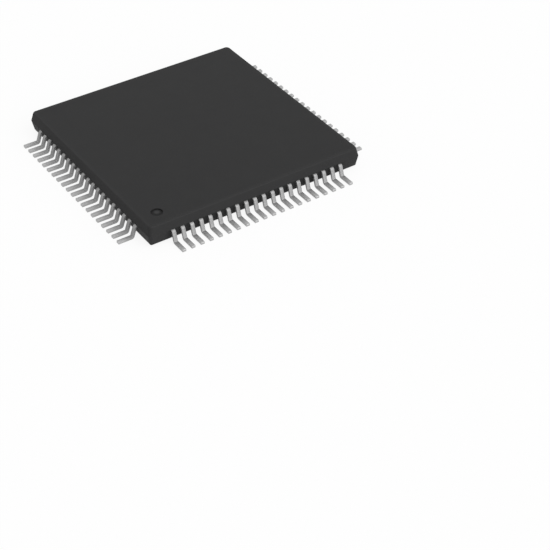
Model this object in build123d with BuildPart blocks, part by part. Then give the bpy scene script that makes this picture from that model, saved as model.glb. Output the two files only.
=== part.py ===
from build123d import *
import os
from math import radians, sqrt, tan

# Thin quad flat package with an exposed pad, in millimetres.
# +Z is up, the board's surface is Z = 0 and the Z axis runs through the middle of the package.
# Pin 1 is at the -X +Y corner, and the pins count anticlockwise when seen from above.

# Moulded body
body_width = 12.0
upper_thickness = 0.47
lower_thickness = 0.57
standoff = 0.10
draft_angle = 12.7
top_corner_radius = 0.21
bottom_corner_radius = 0.08
edge_radius = 0.06
dot_diameter = 0.56
dot_depth = 0.06
dot_edge_radius = 0.03
dot_inset = 1.01

# Leads
leads_per_side = 20
lead_pitch = 0.50
lead_width = 0.20
lead_thickness = 0.127
lead_length = 1.0
shoulder_length = 0.045
foot_length = 0.77
bend_radius = 0.03
inner_lead_width = 0.26
inner_lead_setback = 0.20
leads_per_group = 5

# Die paddle, from the same sheet as the leads
paddle_inset = 1.05
paddle_gap = 0.20
tie_bar_width = 0.24
tie_bar_gap = 0.06
tie_bar_step = 0.15
tie_bar_cover = 0.15

# Die and the layer that holds it
die_width = 5.0
die_thickness = 0.28
attach_thickness = 0.025
attach_margin = 0.10

# Bond wires
wire_diameter = 0.025
ball_diameter = 0.06
ball_height = 0.015
loop_height = 0.12
loop_radius = 0.08
landing_run = 0.35
landing_radius = 0.25
bond_pad_inset = 0.12
bond_pad_edge = 0.25
stitch_setback = 0.12

# Levels that follow from the sizes above: the leads' upper faces lie where the body's halves meet
lead_top = standoff + lower_thickness
lead_level = lead_top - lead_thickness / 2
body_top = lead_top + upper_thickness
paddle_top = standoff + lead_thickness
die_seat = paddle_top + attach_thickness
die_top = die_seat + die_thickness
loop_top = max(die_top, lead_top) + loop_height

# Places that follow from the sizes above
body_side = body_width / 2
draft = tan(radians(draft_angle))
top_side = body_side - upper_thickness * draft
ridge_radius = bottom_corner_radius + lower_thickness * draft
paddle_side = body_side - paddle_inset
lead_row = (leads_per_side - 1) * lead_pitch
lead_tip = body_side + lead_length
row_corner = (lead_row + inner_lead_width) / 2
diagonal = sqrt(2)
inner_tip = max(paddle_side + paddle_gap, row_corner + (tie_bar_width / 2 + tie_bar_gap) * diagonal)
bond_pad_pitch = (die_width - 2 * bond_pad_edge) / (leads_per_side - 1)


def side_location(side):
    """Where side 0, 1, 2 or 3 lies: the pins of side 0 run down the -X side."""
    return Location((0, 0, 0), (0, 0, 180 + 90 * side))


def along_row(place, pitch):
    """The Y of a place in a row along the +X side."""
    return (place - (leads_per_side - 1) / 2) * pitch


# One lead, pointing along +X: flat inside the body, then down to a foot on the board
with BuildPart() as lead:
    with BuildSketch(Plane.XZ):
        with BuildLine():
            FilletPolyline(
                (inner_tip, lead_level),
                (body_side + shoulder_length, lead_level),
                (lead_tip - foot_length, lead_thickness / 2),
                (lead_tip, lead_thickness / 2),
                radius=bend_radius + lead_thickness / 2,
            )
        trace(line_width=lead_thickness)
    extrude(amount=lead_width / 2, both=True)
    with BuildSketch(Plane.XY.offset(lead_level)):
        with Locations(((inner_tip + body_side - inner_lead_setback) / 2, 0)):
            Rectangle(body_side - inner_lead_setback - inner_tip, inner_lead_width)
    extrude(amount=lead_thickness / 2, both=True)


# A tie bar along +X, as a strip that climbs from the paddle's corner to the leads' plane
tie_bar_start = paddle_side * diagonal
tie_bar_end = (body_side - ridge_radius) * diagonal + ridge_radius - tie_bar_cover
tie_bar_low = standoff + lead_thickness / 2
with BuildPart() as tie_bar:
    with BuildSketch(Plane.XZ):
        with BuildLine():
            Polyline(
                (tie_bar_start - tie_bar_width, tie_bar_low),
                (tie_bar_start + tie_bar_step, tie_bar_low),
                (tie_bar_end - tie_bar_step, lead_level - lead_thickness / 2),
                (tie_bar_end, lead_level - lead_thickness / 2),
                (tie_bar_end, lead_top),
                (tie_bar_end - tie_bar_step, lead_top),
                (tie_bar_start + tie_bar_step, paddle_top),
                (tie_bar_start - tie_bar_width, paddle_top),
                close=True,
            )
        make_face()
    extrude(amount=tie_bar_width / 2, both=True)

# Die paddle: its underside is the exposed pad, and a tie bar leaves each corner
with BuildPart() as die_paddle:
    with BuildSketch(Plane.XY.offset(standoff)):
        Rectangle(2 * paddle_side, 2 * paddle_side)
    extrude(amount=lead_thickness)
    with PolarLocations(0, 4, start_angle=45):
        add(tie_bar.part)
die_paddle.part.label = "die_paddle"


# Die attach: a thin layer of adhesive, a little wider than the die
with BuildPart() as die_attach:
    with BuildSketch(Plane.XY.offset(paddle_top)):
        Rectangle(die_width + 2 * attach_margin, die_width + 2 * attach_margin)
    extrude(amount=attach_thickness)
die_attach.part.label = "die_attach"


# Silicon die
with BuildPart() as silicon_die:
    with BuildSketch(Plane.XY.offset(die_seat)):
        Rectangle(die_width, die_width)
    extrude(amount=die_thickness)
silicon_die.part.label = "silicon_die"


def bond_wire(place):
    """The wire from the die to one lead of the +X side: ball, loop and stitch."""
    pad = Vector(die_width / 2 - bond_pad_inset, along_row(place, bond_pad_pitch), die_top)
    stitch = Vector(inner_tip + stitch_setback, along_row(place, lead_pitch), lead_top)
    heading = Vector(stitch.X - pad.X, stitch.Y - pad.Y, 0)
    span = heading.length
    upright = Plane(origin=(pad.X, pad.Y, 0), x_dir=heading, z_dir=heading.cross(Vector(0, 0, 1)))
    fall = (loop_top - lead_top) / landing_run
    past = 2 * wire_diameter
    with BuildPart() as wire:
        with BuildLine(upright):
            FilletPolyline(
                (0, die_top),
                (0, loop_top),
                (span - landing_run, loop_top),
                (span + past, lead_top - past * fall),
                radius=[loop_radius, landing_radius],
            )
        with BuildSketch(Plane(origin=pad)):
            Circle(wire_diameter / 2)
        sweep()
        with Locations(pad):
            Cylinder(ball_diameter / 2, ball_height, align=(Align.CENTER, Align.CENTER, Align.MIN))
        with Locations(stitch):
            below = (Align.CENTER, Align.CENTER, Align.MAX)
            Box(landing_run, landing_run, landing_run, align=below, mode=Mode.SUBTRACT)
    return wire.part


side_wires = [bond_wire(place) for place in range(leads_per_side)]


# Leads and bond wires, as groups that follow each other round the package by pin number
def pin_names(first_pin):
    """The pins of the group that starts at first_pin, as they stand in its name."""
    return f"{first_pin:02}_{first_pin + leads_per_group - 1:02}"


lead_groups = []
wire_groups = []
for side in range(4):
    for first in range(0, leads_per_side, leads_per_group):
        places = range(first, first + leads_per_group)
        pins = pin_names(side * leads_per_side + first + 1)
        with BuildPart() as leads:
            with Locations(side_location(side)):
                with Locations([(0, along_row(place, lead_pitch)) for place in places]):
                    add(lead.part)
        leads.part.label = "leads_" + pins
        lead_groups.append(leads.part)
        with BuildPart() as wires:
            with Locations(side_location(side)):
                add([side_wires[place] for place in places])
        wires.part.label = "bond_wires_" + pins
        wire_groups.append(wires.part)


# Moulded body: both halves, the pin 1 dot, and the room that all the inner pieces take up.
# The ridge round the body is widest. The corners narrow below it and keep their radius above it.
inner_parts = [die_paddle.part, die_attach.part, silicon_die.part, *lead_groups, *wire_groups]
with BuildPart() as moulded_body:
    with BuildSketch(Plane.XY.offset(lead_top)):
        RectangleRounded(body_width, body_width, ridge_radius)
    extrude(amount=-lower_thickness, taper=draft_angle)
    fillet(moulded_body.faces().sort_by(Axis.Z)[0].edges(), edge_radius)
    with BuildSketch(Plane.XY.offset(lead_top)):
        RectangleRounded(body_width, body_width, ridge_radius)
    with BuildSketch(Plane.XY.offset(body_top)):
        RectangleRounded(2 * top_side, 2 * top_side, top_corner_radius)
    loft(ruled=True)
    fillet(moulded_body.faces().sort_by(Axis.Z)[-1].edges(), edge_radius)
    with Locations((dot_inset - body_side, body_side - dot_inset, body_top)):
        Hole(dot_diameter / 2, depth=dot_depth)
    fillet(moulded_body.edges(Select.LAST).sort_by(Axis.Z)[-1], dot_edge_radius)
    add(inner_parts, mode=Mode.SUBTRACT)
moulded_body.part.label = "moulded_body"


os.makedirs("parts", exist_ok=True)
for piece in [moulded_body.part, *inner_parts]:
    export_step(piece, f"parts/{piece.label}.step")
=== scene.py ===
import math

import bmesh
import bpy
from bpy.props import FloatProperty, FloatVectorProperty, IntProperty, PointerProperty
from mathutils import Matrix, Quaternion, Vector


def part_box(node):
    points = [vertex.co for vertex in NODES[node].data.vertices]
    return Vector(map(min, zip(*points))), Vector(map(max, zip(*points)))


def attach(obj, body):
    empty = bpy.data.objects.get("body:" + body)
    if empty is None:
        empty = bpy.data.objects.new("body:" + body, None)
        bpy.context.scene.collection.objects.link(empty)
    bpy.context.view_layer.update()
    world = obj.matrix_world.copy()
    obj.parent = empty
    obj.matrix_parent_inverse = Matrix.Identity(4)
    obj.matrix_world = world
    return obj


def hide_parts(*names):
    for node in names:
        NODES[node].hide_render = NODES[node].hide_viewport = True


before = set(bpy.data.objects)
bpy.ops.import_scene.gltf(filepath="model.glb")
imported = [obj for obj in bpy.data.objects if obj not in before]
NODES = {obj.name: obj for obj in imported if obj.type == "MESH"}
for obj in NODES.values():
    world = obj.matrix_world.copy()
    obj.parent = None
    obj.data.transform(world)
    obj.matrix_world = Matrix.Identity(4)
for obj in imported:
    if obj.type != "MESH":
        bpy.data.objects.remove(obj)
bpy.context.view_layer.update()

bl_info = {
    "name": "Quad flat package",
    "version": (1, 0, 0),
    "blender": (4, 5, 0),
    "location": "View3D > Sidebar > Package",
    "description": "Forms the leads of a thin quad flat package and gives every piece its finish",
    "category": "Object",
}

MM = 0.001

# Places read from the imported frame
LEAD_NODES = sorted(name for name in NODES if name.startswith("leads_"))
WIRE_NODES = sorted(name for name in NODES if name.startswith("bond_wires_"))
PLUS_X_LEADS = "leads_41_45"
LEADS_LOW, LEADS_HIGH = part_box(PLUS_X_LEADS)
BODY_LOW, BODY_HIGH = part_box("moulded_body")

# The pins count anticlockwise from the -X +Y corner, 20 to a side and 5 to a node
PINS_PER_SIDE = 20
PINS_PER_NODE = 5

BLACK = (0, 0, 0)


# Sizes and colours

class LeadForm(bpy.types.PropertyGroup):
    """The bent strip that every lead is formed from."""

    pitch: FloatProperty(
        name="Pitch", description="Distance from lead to lead",
        default=0.50 * MM, unit="LENGTH",
    )
    width: FloatProperty(
        name="Width", description="Width of the lead outside the body",
        default=0.20 * MM, unit="LENGTH",
    )
    inner_width: FloatProperty(
        name="Inner width", description="Width of the lead inside the body",
        default=0.26 * MM, unit="LENGTH",
    )
    inner_setback: FloatProperty(
        name="Inner setback", description="From the body's side to where the lead widens",
        default=0.20 * MM, unit="LENGTH",
    )
    thickness: FloatProperty(
        name="Thickness", description="Thickness of the leadframe sheet",
        default=0.127 * MM, unit="LENGTH",
    )
    shoulder: FloatProperty(
        name="Shoulder", description="From the body's side to the corner of the upper bend",
        default=0.045 * MM, unit="LENGTH",
    )
    foot: FloatProperty(
        name="Foot", description="From the corner of the lower bend to the tip",
        default=0.77 * MM, unit="LENGTH",
    )
    bend_radius: FloatProperty(
        name="Bend radius", description="Inner radius of both bends",
        default=0.03 * MM, unit="LENGTH",
    )
    edge_radius: FloatProperty(
        name="Edge radius", description="Rounding that stamping and plating leave on every edge",
        default=0.014 * MM, unit="LENGTH",
    )
    tip_round: FloatProperty(
        name="Tip round", description="Rounding that the blade leaves on the top edge of the tip",
        default=0.0224 * MM, unit="LENGTH",
    )
    bend_steps: IntProperty(
        name="Bend steps", description="Flats that make up each bend", default=8,
    )


class Finishes(bpy.types.PropertyGroup):
    """The colours and the gloss of the package's surfaces."""

    compound: FloatVectorProperty(
        name="Compound", description="Colour of the moulding compound",
        default=(0.0212, 0.0212, 0.0215), subtype="COLOR",
    )
    compound_gloss: FloatProperty(
        name="Compound gloss", description="Strength of the compound's reflection",
        default=0.14, subtype="FACTOR",
    )
    dot_place: FloatVectorProperty(
        name="Dot place", description="The middle of the pin 1 dot on the top of the body",
        default=(-4.99 * MM, 4.99 * MM, 0.0), subtype="TRANSLATION", unit="LENGTH", precision=5,
    )
    dot_radius: FloatProperty(
        name="Dot radius", description="Radius of the pin 1 dot, without its rounded rim",
        default=0.28 * MM, unit="LENGTH",
    )
    # Painted highlight: from the middle of the dot to the pale spot painted on its floor
    highlight_shift: FloatVectorProperty(
        name="Spot shift", description="From the middle of the dot to the pale spot on its floor",
        default=(0.0672 * MM, -0.0448 * MM, 0.0), subtype="TRANSLATION", unit="LENGTH", precision=5,
    )
    # Painted shade: how far along each side the painted shade between the leads reaches
    shade_reach: FloatProperty(
        name="Film reach", description="How far the dark film reaches along a side from its middle",
        default=4.95 * MM, unit="LENGTH",
    )
    # Painted highlight: width of the paler band painted along the rim of the top
    highlight_rim_width: FloatProperty(
        name="Rim width", description="Width of the paler rim of the top",
        default=0.15 * MM, unit="LENGTH",
    )
    # Painted shade: the darker tin next to the body stands for the shade the body casts on the risers
    # and shows in them
    shaded_riser_tin: FloatVectorProperty(
        name="Riser tin", description="Colour of the tin that the forming tool dulled, next to the body",
        default=(0.34, 0.34, 0.34), subtype="COLOR",
    )
    tip_tin: FloatVectorProperty(
        name="Tip tin", description="Colour of the bright tin at the ends of the feet",
        default=(0.51, 0.51, 0.51), subtype="COLOR",
    )
    pad_tin: FloatVectorProperty(
        name="Pad tin", description="Colour of the tin on the exposed pad",
        default=(0.50, 0.50, 0.50), subtype="COLOR",
    )
    tin_roughness: FloatProperty(
        name="Tin roughness", description="Mean roughness of the matte tin plating",
        default=0.56, subtype="FACTOR",
    )
    gold: FloatVectorProperty(
        name="Gold", description="Colour of the bond wires",
        default=(0.94, 0.68, 0.28), subtype="COLOR",
    )
    silicon: FloatVectorProperty(
        name="Silicon", description="Colour of the passivated die",
        default=(0.10, 0.115, 0.15), subtype="COLOR",
    )
    adhesive: FloatVectorProperty(
        name="Adhesive", description="Colour of the silver-filled die attach",
        default=(0.42, 0.42, 0.40), subtype="COLOR",
    )


class Studio(bpy.types.PropertyGroup):
    """The pale floor, the soft light and the camera."""

    floor: FloatVectorProperty(
        name="Floor", description="Colour of the floor", default=(0.90, 0.90, 0.90), subtype="COLOR",
    )
    floor_size: FloatProperty(
        name="Floor size", description="Side of the square floor", default=4.0, unit="LENGTH",
    )
    sky: FloatProperty(
        name="Sky", description="Strength of the even light from all round", default=0.63,
    )
    key: FloatProperty(
        name="Key", description="Strength of the wide soft lamp", default=2.10,
    )
    key_angle: FloatProperty(
        name="Key softness", description="Apparent size of the lamp above",
        default=math.radians(80), subtype="ANGLE",
    )
    key_tilt: FloatVectorProperty(
        name="Key tilt", description="Turn of the lamp from straight down, about X and then Y",
        default=(math.radians(12), math.radians(-52), 0.0), subtype="EULER",
    )
    shadow: FloatProperty(
        name="Shadow", description="Share of the object's shadow that the floor shows",
        default=0.12, subtype="FACTOR",
    )
    lens: FloatProperty(
        name="Lens", description="Focal length of the camera", default=98.0, unit="CAMERA",
    )
    sensor: FloatProperty(
        name="Sensor", description="Width of the camera's sensor", default=36.0, unit="CAMERA",
    )
    camera_place: FloatVectorProperty(
        name="Camera place", description="Where the camera stands",
        default=(-54.180 * MM, 31.851 * MM, 42.326 * MM), subtype="TRANSLATION", unit="LENGTH",
        precision=5,
    )
    camera_aim: FloatVectorProperty(
        name="Camera aim", description="The point of the floor in the middle of the picture",
        default=(-10.723 * MM, 2.256 * MM, 0.0), subtype="TRANSLATION", unit="LENGTH",
        precision=5,
    )
    camera_roll: FloatProperty(
        name="Camera roll", description="Turn of the camera about its own line of sight",
        default=math.radians(0.236), subtype="ANGLE",
    )


# Modelling

def deselect_all():
    """Leaves nothing selected, so that an operator acts on the new piece alone."""
    if bpy.context.object and bpy.context.object.mode != "OBJECT":
        bpy.ops.object.mode_set(mode="OBJECT")
    bpy.ops.object.select_all(action="DESELECT")


def activate(piece):
    """Selects one object alone and makes it the active one."""
    deselect_all()
    piece.select_set(True)
    bpy.context.view_layer.objects.active = piece


def extrude_face(x=0.0, y=0.0, z=0.0):
    """Extrudes the selected face by a vector."""
    bpy.ops.mesh.extrude_region_move(TRANSFORM_OT_translate={"value": (x, y, z)})


def select_edges(mesh, wanted):
    """Selects, in edit mode, the edges whose two ends pass the test."""
    bpy.ops.mesh.select_mode(type="EDGE")
    bpy.ops.mesh.select_all(action="DESELECT")
    shape = bmesh.from_edit_mesh(mesh)
    for edge in shape.edges:
        edge.select_set(wanted(edge.verts[0].co, edge.verts[1].co))
    bmesh.update_edit_mesh(mesh)


def formed_lead(form):
    """One lead that leaves the +X side at Y = 0, bent from a strip."""
    level = LEADS_HIGH.z - form.thickness / 2
    foot_level = form.thickness / 2
    tip = LEADS_HIGH.x
    inner_end = LEADS_LOW.x
    widening = BODY_HIGH.x - form.inner_setback
    knee = BODY_HIGH.x + form.shoulder
    heel = tip - form.foot
    radius = form.bend_radius + form.thickness / 2
    riser = Vector((heel - knee, 0, foot_level - level))
    turn = math.atan2(-riser.z, riser.x)
    setback = radius * math.tan(turn / 2)

    deselect_all()
    bpy.ops.mesh.primitive_plane_add(
        size=1, location=(inner_end, 0, level), rotation=(0, math.pi / 2, 0)
    )
    lead = bpy.context.object
    lead.scale = (form.thickness, form.inner_width, 1)
    bpy.ops.object.transform_apply(location=True, rotation=True, scale=True)

    bpy.ops.object.mode_set(mode="EDIT")
    bpy.ops.mesh.select_all(action="SELECT")
    extrude_face(x=widening - inner_end)
    extrude_face()
    bpy.ops.transform.resize(
        value=(1, form.width / form.inner_width, 1), center_override=(widening, 0, level)
    )
    extrude_face(x=knee - setback - widening)
    bpy.ops.mesh.spin(
        steps=form.bend_steps, angle=turn,
        center=(knee - setback, 0, level - radius), axis=(0, -1, 0),
    )
    straight = riser.normalized() * (riser.length - 2 * setback)
    extrude_face(x=straight.x, z=straight.z)
    bpy.ops.mesh.spin(
        steps=form.bend_steps, angle=turn,
        center=(heel + setback, 0, foot_level + radius), axis=(0, 1, 0),
    )
    extrude_face(x=tip - heel - setback)

    # The blade draws the top edge of the tip down as it cuts
    near_tip = tip - form.edge_radius
    above_foot = form.thickness - form.edge_radius
    select_edges(
        lead.data,
        lambda a, b: min(a.x, b.x) > near_tip and min(a.z, b.z) > above_foot,
    )
    bpy.ops.mesh.bevel(offset=form.tip_round, segments=3, affect="EDGES")
    bpy.ops.object.mode_set(mode="OBJECT")

    rounding = lead.modifiers.new("rounded edges", "BEVEL")
    rounding.width = form.edge_radius
    rounding.segments = 2
    rounding.limit_method = "ANGLE"
    rounding.angle_limit = math.radians(50)
    bpy.ops.object.modifier_apply(modifier=rounding.name)
    bpy.ops.object.shade_smooth_by_angle(angle=math.radians(32))
    facing = lead.modifiers.new("flat faces", "WEIGHTED_NORMAL")
    facing.keep_sharp = True
    bpy.ops.object.modifier_apply(modifier=facing.name)
    return lead


def lead_group(lead, form, node_name):
    """Five copies of the lead where the pins of one node stand."""
    first_pin = int(node_name.split("_")[1])
    side, first_place = divmod(first_pin - 1, PINS_PER_SIDE)
    copies = []
    for place in range(first_place, first_place + PINS_PER_NODE):
        copy = lead.copy()
        copy.data = lead.data.copy()
        bpy.context.scene.collection.objects.link(copy)
        copy.location.y = (place - (PINS_PER_SIDE - 1) / 2) * form.pitch
        copies.append(copy)
    activate(copies[0])
    for copy in copies:
        copy.select_set(True)
    bpy.ops.object.transform_apply(location=True, rotation=False, scale=False)
    bpy.ops.object.join()
    group = bpy.context.object
    group.rotation_euler.z = math.radians(180 + 90 * side)
    bpy.ops.object.transform_apply(location=False, rotation=True, scale=False)
    group.name = "tinned_" + node_name
    group.data.name = group.name
    return group


# Materials

def blank_material(name):
    """A material with its node tree and its shader."""
    material = bpy.data.materials.new(name)
    material.use_nodes = True
    tree = material.node_tree
    return material, tree, tree.nodes["Principled BSDF"]


def put(tree, kind, values=(), **settings):
    """A new node with its settings, and its inputs set or linked by name or number."""
    made = tree.nodes.new(kind)
    for name, value in settings.items():
        setattr(made, name, value)
    for name, value in dict(values).items():
        if isinstance(value, bpy.types.NodeSocket):
            tree.links.new(value, made.inputs[name])
        else:
            made.inputs[name].default_value = value
    return made


def object_place(tree):
    """The coordinates of the piece itself."""
    return put(tree, "ShaderNodeTexCoord").outputs["Object"]


def grain(tree, place, size, detail=2.0, roughness=0.5):
    """Noise, from 0 to 1, whose lumps are about as large as size."""
    made = put(
        tree, "ShaderNodeTexNoise",
        {"Vector": place, "Scale": 1 / size, "Detail": detail, "Roughness": roughness},
    )
    return made.outputs["Fac"]


def remap(tree, value, low, high, to_low, to_high):
    """The value, moved from one range to another and held inside it."""
    made = put(
        tree, "ShaderNodeMapRange",
        {"Value": value, "From Min": low, "From Max": high, "To Min": to_low, "To Max": to_high},
    )
    return made.outputs["Result"]


def blend_colours(tree, share, first, second):
    """From the first colour at 0 to the second at 1."""
    made = put(tree, "ShaderNodeMix", data_type="RGBA")
    tree.links.new(share, made.inputs["Factor"])
    for number, colour in ((6, first), (7, second)):
        if isinstance(colour, bpy.types.NodeSocket):
            tree.links.new(colour, made.inputs[number])
        else:
            made.inputs[number].default_value = (*colour, 1)
    return made.outputs[2]


def relief(tree, height, distance):
    """A fine relief, as deep as distance where height runs from 0 to 1."""
    made = put(tree, "ShaderNodeBump", {"Height": height, "Distance": distance})
    return made.outputs["Normal"]


def scaled(colour, factor):
    """A colour made darker or lighter by one factor."""
    return tuple(part * factor for part in colour)


def beside_axis(tree, place, middle):
    """The distance from an upright line through a point."""
    level = put(tree, "ShaderNodeVectorMath", {0: place, 1: (1, 1, 0)}, operation="MULTIPLY")
    made = put(
        tree, "ShaderNodeVectorMath", {0: level.outputs[0], 1: (*middle, 0)}, operation="DISTANCE"
    )
    return made.outputs["Value"]


def beside_middle(tree, place, operation):
    """How far a point lies from the package's middle along X or Y: the MAXIMUM or the MINIMUM.

    On a side of the body, the first says how far out the point is and the second how far along.
    """
    axes = put(tree, "ShaderNodeSeparateXYZ", {0: place})
    along_x = put(tree, "ShaderNodeMath", {0: axes.outputs["X"]}, operation="ABSOLUTE")
    along_y = put(tree, "ShaderNodeMath", {0: axes.outputs["Y"]}, operation="ABSOLUTE")
    made = put(
        tree, "ShaderNodeMath", {0: along_x.outputs[0], 1: along_y.outputs[0]}, operation=operation
    )
    return made.outputs[0]


def height_of(tree, place):
    """How high a point lies above the board."""
    return put(tree, "ShaderNodeSeparateXYZ", {0: place}).outputs["Z"]


def painted_shade_between_leads(tree, place, finishes, compound):
    """The compound, darker on the sides below the ridge along the rows of leads: painted shade where the
    leads and the body shade it.
    """
    height = height_of(tree, place)
    fade = 0.04 * MM
    margin = 0.20 * MM
    under_ridge = remap(tree, height, LEADS_HIGH.z + fade, LEADS_HIGH.z, 0, 1)
    along_side = beside_middle(tree, place, "MINIMUM")
    in_row = remap(
        tree, along_side, finishes.shade_reach + margin, finishes.shade_reach, 0, under_ridge
    )
    over_edge = remap(tree, height, BODY_LOW.z + fade / 2, BODY_LOW.z + margin, 0, in_row)
    return blend_colours(tree, over_edge, compound, scaled(finishes.compound, 0.75))


def painted_rim_highlight(tree, place, finishes, compound):
    """The compound, paler along the rim of the top: a painted highlight where the rounded edge catches
    the light.
    """
    height = height_of(tree, place)
    fade = 0.03 * MM
    margin = 0.20 * MM
    at_top = remap(tree, height, BODY_HIGH.z - 2 * fade, BODY_HIGH.z - fade, 0, 1)
    rim = BODY_HIGH.x - finishes.highlight_rim_width
    outwards = beside_middle(tree, place, "MAXIMUM")
    in_rim = remap(tree, outwards, rim - margin, rim, 0, at_top)
    return blend_colours(tree, in_rim, compound, scaled(finishes.compound, 1.25))


def painted_dot_shading(tree, place, finishes, compound):
    """The compound, dark in the pin 1 dot that the mould's pin left, as painted shade in the recess,
    with a pale spot on its floor as a painted highlight.
    """
    wall = finishes.dot_radius
    dot = Vector(finishes.dot_place)
    spot = dot + Vector(finishes.highlight_shift)
    in_dot = remap(tree, beside_axis(tree, place, dot.xy), 1.10 * wall, 1.04 * wall, 0, 1)
    dot_shaded = blend_colours(tree, in_dot, compound, scaled(finishes.compound, 0.58))
    in_painted_highlight = remap(tree, beside_axis(tree, place, spot.xy), 0.66 * wall, 0.30 * wall, 0, 1)
    return blend_colours(tree, in_painted_highlight, dot_shaded, scaled(finishes.compound, 1.8))


def compound_material(finishes):
    """Black epoxy from a spark-eroded mould: faint clouds, fine grain and pale grains of filler."""
    material, tree, shader = blank_material("moulded_epoxy")
    place = object_place(tree)
    clouds = grain(tree, place, size=0.9 * MM, detail=3)
    skin = grain(tree, place, size=0.045 * MM, detail=3, roughness=0.6)
    filler_spacing = 0.11 * MM
    filler = put(tree, "ShaderNodeTexVoronoi", {"Vector": place, "Scale": 1 / filler_spacing})
    specks = remap(tree, filler.outputs["Distance"], 0.16, 0.08, 0, 1)

    clouded = blend_colours(
        tree, remap(tree, clouds, 0.3, 0.7, 0, 1),
        scaled(finishes.compound, 0.96), scaled(finishes.compound, 1.04),
    )
    grained = blend_colours(
        tree, remap(tree, skin, 0.35, 0.7, 0, 0.5), clouded, scaled(finishes.compound, 1.35)
    )
    speckled = blend_colours(
        tree, remap(tree, specks, 0, 1, 0, 0.35), grained, scaled(finishes.compound, 2.6)
    )
    # Painted shade on the lower sides, between the leads
    shaded_between_leads = painted_shade_between_leads(tree, place, finishes, speckled)
    # Painted highlight along the rim of the top
    rim_highlighted = painted_rim_highlight(tree, place, finishes, shaded_between_leads)
    # Painted shade in the pin 1 dot, with a painted highlight on its floor
    dot_shaded = painted_dot_shading(tree, place, finishes, rim_highlighted)

    tree.links.new(dot_shaded, shader.inputs["Base Color"])
    tree.links.new(remap(tree, skin, 0.3, 0.7, 0.58, 0.72), shader.inputs["Roughness"])
    tree.links.new(relief(tree, skin, 0.0016 * MM), shader.inputs["Normal"])
    shader.inputs["Specular IOR Level"].default_value = finishes.compound_gloss
    return material


def tin_material(name, finishes, inner_tin, outer_tin):
    """Matte tin over copper, from one colour at the risers to another at the ends of the feet: on the
    leads the darker inner colour is painted shade near the body.

    It has fine crystals, patches of coarser ones and faint clouds.
    """
    material, tree, shader = blank_material(name)
    place = object_place(tree)
    outwards = beside_middle(tree, place, "MAXIMUM")
    heel = BODY_HIGH.x + 0.20 * MM
    # Painted shade: the tin darkens from the tips in towards the body
    tin = blend_colours(
        tree, remap(tree, outwards, heel, LEADS_HIGH.x, 0, 1), inner_tin, outer_tin
    )
    clouds = grain(tree, place, size=0.5 * MM)
    patches = grain(tree, place, size=0.07 * MM)
    crystals = grain(tree, place, size=0.018 * MM, roughness=0.6)
    clouded = blend_colours(tree, remap(tree, clouds, 0.3, 0.7, 0.06, 0), tin, BLACK)
    patched = blend_colours(tree, remap(tree, patches, 0.35, 0.65, 0, 0.12), clouded, BLACK)
    crystalled = blend_colours(tree, remap(tree, crystals, 0.4, 0.75, 0, 0.08), patched, BLACK)
    tree.links.new(crystalled, shader.inputs["Base Color"])
    mean = finishes.tin_roughness
    roughness = remap(tree, crystals, 0.3, 0.7, mean - 0.05, mean + 0.07)
    tree.links.new(roughness, shader.inputs["Roughness"])
    tree.links.new(relief(tree, crystals, 0.0005 * MM), shader.inputs["Normal"])
    shader.inputs["Metallic"].default_value = 1.0
    return material


def gold_material(finishes):
    """Drawn gold wire."""
    material, tree, shader = blank_material("drawn_gold")
    place = object_place(tree)
    streaks = grain(tree, place, size=0.01 * MM, detail=1)
    colour = blend_colours(tree, streaks, scaled(finishes.gold, 0.9), scaled(finishes.gold, 1.05))
    tree.links.new(colour, shader.inputs["Base Color"])
    tree.links.new(remap(tree, streaks, 0.3, 0.7, 0.18, 0.28), shader.inputs["Roughness"])
    shader.inputs["Metallic"].default_value = 1.0
    return material


def silicon_material(finishes):
    """A passivated die, whose blocks of circuits show as faint rectangles."""
    material, tree, shader = blank_material("passivated_silicon")
    place = object_place(tree)
    block_spacing = 0.6 * MM
    blocks = put(
        tree, "ShaderNodeTexVoronoi", {"Vector": place, "Scale": 1 / block_spacing},
        distance="CHEBYCHEV",
    )
    haze = grain(tree, place, size=0.05 * MM)
    colour = blend_colours(
        tree, remap(tree, blocks.outputs["Distance"], 0.1, 0.6, 0, 1),
        scaled(finishes.silicon, 1.3), scaled(finishes.silicon, 0.8),
    )
    tree.links.new(colour, shader.inputs["Base Color"])
    tree.links.new(remap(tree, haze, 0.3, 0.7, 0.12, 0.2), shader.inputs["Roughness"])
    shader.inputs["Metallic"].default_value = 0.4
    return material


def adhesive_material(finishes):
    """Silver-filled epoxy."""
    material, tree, shader = blank_material("silver_epoxy")
    place = object_place(tree)
    flakes = grain(tree, place, size=0.02 * MM, detail=3)
    colour = blend_colours(
        tree, remap(tree, flakes, 0.35, 0.65, 0, 1),
        scaled(finishes.adhesive, 0.75), scaled(finishes.adhesive, 1.25),
    )
    tree.links.new(colour, shader.inputs["Base Color"])
    tree.links.new(remap(tree, flakes, 0.3, 0.7, 0.45, 0.65), shader.inputs["Roughness"])
    tree.links.new(relief(tree, flakes, 0.001 * MM), shader.inputs["Normal"])
    shader.inputs["Metallic"].default_value = 0.5
    return material


def paint(piece, material):
    """Gives every slot of a piece this material."""
    if not piece.material_slots:
        piece.data.materials.append(material)
    for slot in piece.material_slots:
        slot.material = material


# Floor, light and camera

def shown_background(tree):
    """1 for rays that see or mirror the background, and 0 for those that only light the object."""
    path = put(tree, "ShaderNodeLightPath")
    first = put(
        tree, "ShaderNodeMath",
        {0: path.outputs["Is Camera Ray"], 1: path.outputs["Is Glossy Ray"]}, operation="MAXIMUM",
    )
    both = put(
        tree, "ShaderNodeMath",
        {0: first.outputs[0], 1: path.outputs["Is Transmission Ray"]}, operation="MAXIMUM",
    )
    return both.outputs[0]


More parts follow.
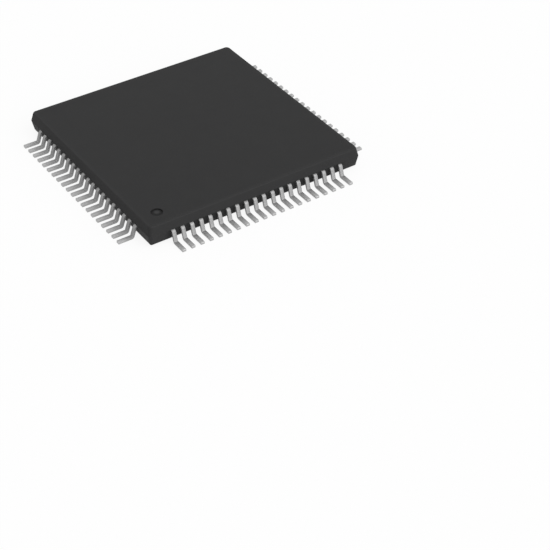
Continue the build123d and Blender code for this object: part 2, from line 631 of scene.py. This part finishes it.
def lay_floor(studio):
    """A matte floor that looks white and still takes the object's shadow, only lighter."""
    deselect_all()
    bpy.ops.mesh.primitive_plane_add(size=studio.floor_size)
    floor = bpy.context.object
    floor.name = "studio_floor"
    material, tree, shader = blank_material("studio_floor")
    tree.nodes.remove(shader)
    matte = put(tree, "ShaderNodeBsdfDiffuse", {"Color": (*studio.floor, 1)})
    white = put(tree, "ShaderNodeEmission", {"Strength": 1.0})
    share = put(
        tree, "ShaderNodeMath", {0: shown_background(tree), 1: 1 - studio.shadow},
        operation="MULTIPLY",
    )
    surface = put(
        tree, "ShaderNodeMixShader",
        {0: share.outputs[0], 1: matte.outputs[0], 2: white.outputs[0]},
    )
    tree.links.new(surface.outputs[0], tree.nodes["Material Output"].inputs["Surface"])
    floor.data.materials.append(material)


def light_scene(studio):
    """An even white surround, and one wide soft lamp above."""
    world = bpy.data.worlds.new("studio_surround")
    bpy.context.scene.world = world
    world.use_nodes = True
    tree = world.node_tree
    strength = put(
        tree, "ShaderNodeMapRange",
        {"Value": shown_background(tree), "To Min": studio.sky, "To Max": 1.0},
    )
    surround = tree.nodes["Background"]
    surround.inputs["Color"].default_value = (1, 1, 1, 1)
    tree.links.new(strength.outputs["Result"], surround.inputs["Strength"])

    lamp = bpy.data.lights.new("studio_key", "SUN")
    lamp.energy = studio.key
    lamp.angle = studio.key_angle
    hung = bpy.data.objects.new("studio_key", lamp)
    hung.rotation_euler = studio.key_tilt
    bpy.context.scene.collection.objects.link(hung)


def place_camera(studio):
    """The camera, at the photograph's viewing angle."""
    camera = bpy.data.cameras.new("studio_camera")
    camera.lens = studio.lens
    camera.sensor_width = studio.sensor
    camera.clip_start = 5 * MM
    camera.clip_end = 10
    standing = bpy.data.objects.new("studio_camera", camera)
    standing.location = studio.camera_place
    aim = Vector(studio.camera_aim) - Vector(studio.camera_place)
    roll = Quaternion((0, 0, 1), studio.camera_roll)
    standing.rotation_euler = (aim.to_track_quat("-Z", "Y") @ roll).to_euler()
    bpy.context.scene.collection.objects.link(standing)
    bpy.context.scene.camera = standing


# Operators

class PACKAGE_OT_form_leads(bpy.types.Operator):
    """Form one lead, copy it to all 80 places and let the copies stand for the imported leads"""

    bl_idname = "package.form_leads"
    bl_label = "Form leads"

    def execute(self, context):
        form = context.scene.lead_form
        finishes = context.scene.finishes
        tin = tin_material("lead_tin", finishes, finishes.shaded_riser_tin, finishes.tip_tin)
        lead = formed_lead(form)
        for node_name in LEAD_NODES:
            group = lead_group(lead, form, node_name)
            paint(group, tin)
            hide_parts(node_name)
            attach(group, "root")
        bpy.data.objects.remove(lead)
        return {"FINISHED"}


class PACKAGE_OT_finish_body(bpy.types.Operator):
    """Give the moulded body its grained black epoxy"""

    bl_idname = "package.finish_body"
    bl_label = "Finish body"

    def execute(self, context):
        paint(NODES["moulded_body"], compound_material(context.scene.finishes))
        return {"FINISHED"}


class PACKAGE_OT_finish_paddle(bpy.types.Operator):
    """Give the die paddle, whose underside is the exposed pad, its matte tin"""

    bl_idname = "package.finish_paddle"
    bl_label = "Finish paddle"

    def execute(self, context):
        finishes = context.scene.finishes
        tin = tin_material("pad_tin", finishes, finishes.pad_tin, finishes.pad_tin)
        paint(NODES["die_paddle"], tin)
        return {"FINISHED"}


class PACKAGE_OT_finish_die(bpy.types.Operator):
    """Give the die and the adhesive under it their finishes"""

    bl_idname = "package.finish_die"
    bl_label = "Finish die"

    def execute(self, context):
        paint(NODES["silicon_die"], silicon_material(context.scene.finishes))
        paint(NODES["die_attach"], adhesive_material(context.scene.finishes))
        return {"FINISHED"}


class PACKAGE_OT_finish_wires(bpy.types.Operator):
    """Give the bond wires their gold"""

    bl_idname = "package.finish_wires"
    bl_label = "Finish wires"

    def execute(self, context):
        gold = gold_material(context.scene.finishes)
        for node_name in WIRE_NODES:
            paint(NODES[node_name], gold)
        return {"FINISHED"}


class PACKAGE_OT_set_studio(bpy.types.Operator):
    """Lay the pale floor, hang the soft light and place the camera"""

    bl_idname = "package.set_studio"
    bl_label = "Set studio"

    def execute(self, context):
        studio = context.scene.studio
        lay_floor(studio)
        light_scene(studio)
        place_camera(studio)
        context.scene.view_settings.view_transform = "Standard"
        return {"FINISHED"}


STEPS = (
    PACKAGE_OT_form_leads,
    PACKAGE_OT_finish_body,
    PACKAGE_OT_finish_paddle,
    PACKAGE_OT_finish_die,
    PACKAGE_OT_finish_wires,
    PACKAGE_OT_set_studio,
)


class PACKAGE_PT_sidebar(bpy.types.Panel):
    """Lists the steps and their sizes"""

    bl_idname = "PACKAGE_PT_sidebar"
    bl_label = "Quad flat package"
    bl_space_type = "VIEW_3D"
    bl_region_type = "UI"
    bl_category = "Package"

    def draw(self, context):
        for settings in (context.scene.lead_form, context.scene.finishes, context.scene.studio):
            box = self.layout.box()
            for name in settings.__annotations__:
                box.prop(settings, name)
        for step in STEPS:
            self.layout.operator(step.bl_idname)


CLASSES = (LeadForm, Finishes, Studio, *STEPS, PACKAGE_PT_sidebar)


def register():
    for made in CLASSES:
        bpy.utils.register_class(made)
    bpy.types.Scene.lead_form = PointerProperty(type=LeadForm)
    bpy.types.Scene.finishes = PointerProperty(type=Finishes)
    bpy.types.Scene.studio = PointerProperty(type=Studio)


def unregister():
    del bpy.types.Scene.studio
    del bpy.types.Scene.finishes
    del bpy.types.Scene.lead_form
    for made in reversed(CLASSES):
        bpy.utils.unregister_class(made)


def main():
    register()
    bpy.ops.package.form_leads()
    bpy.ops.package.finish_body()
    bpy.ops.package.finish_paddle()
    bpy.ops.package.finish_die()
    bpy.ops.package.finish_wires()
    bpy.ops.package.set_studio()


if __name__ == "__main__":
    main()
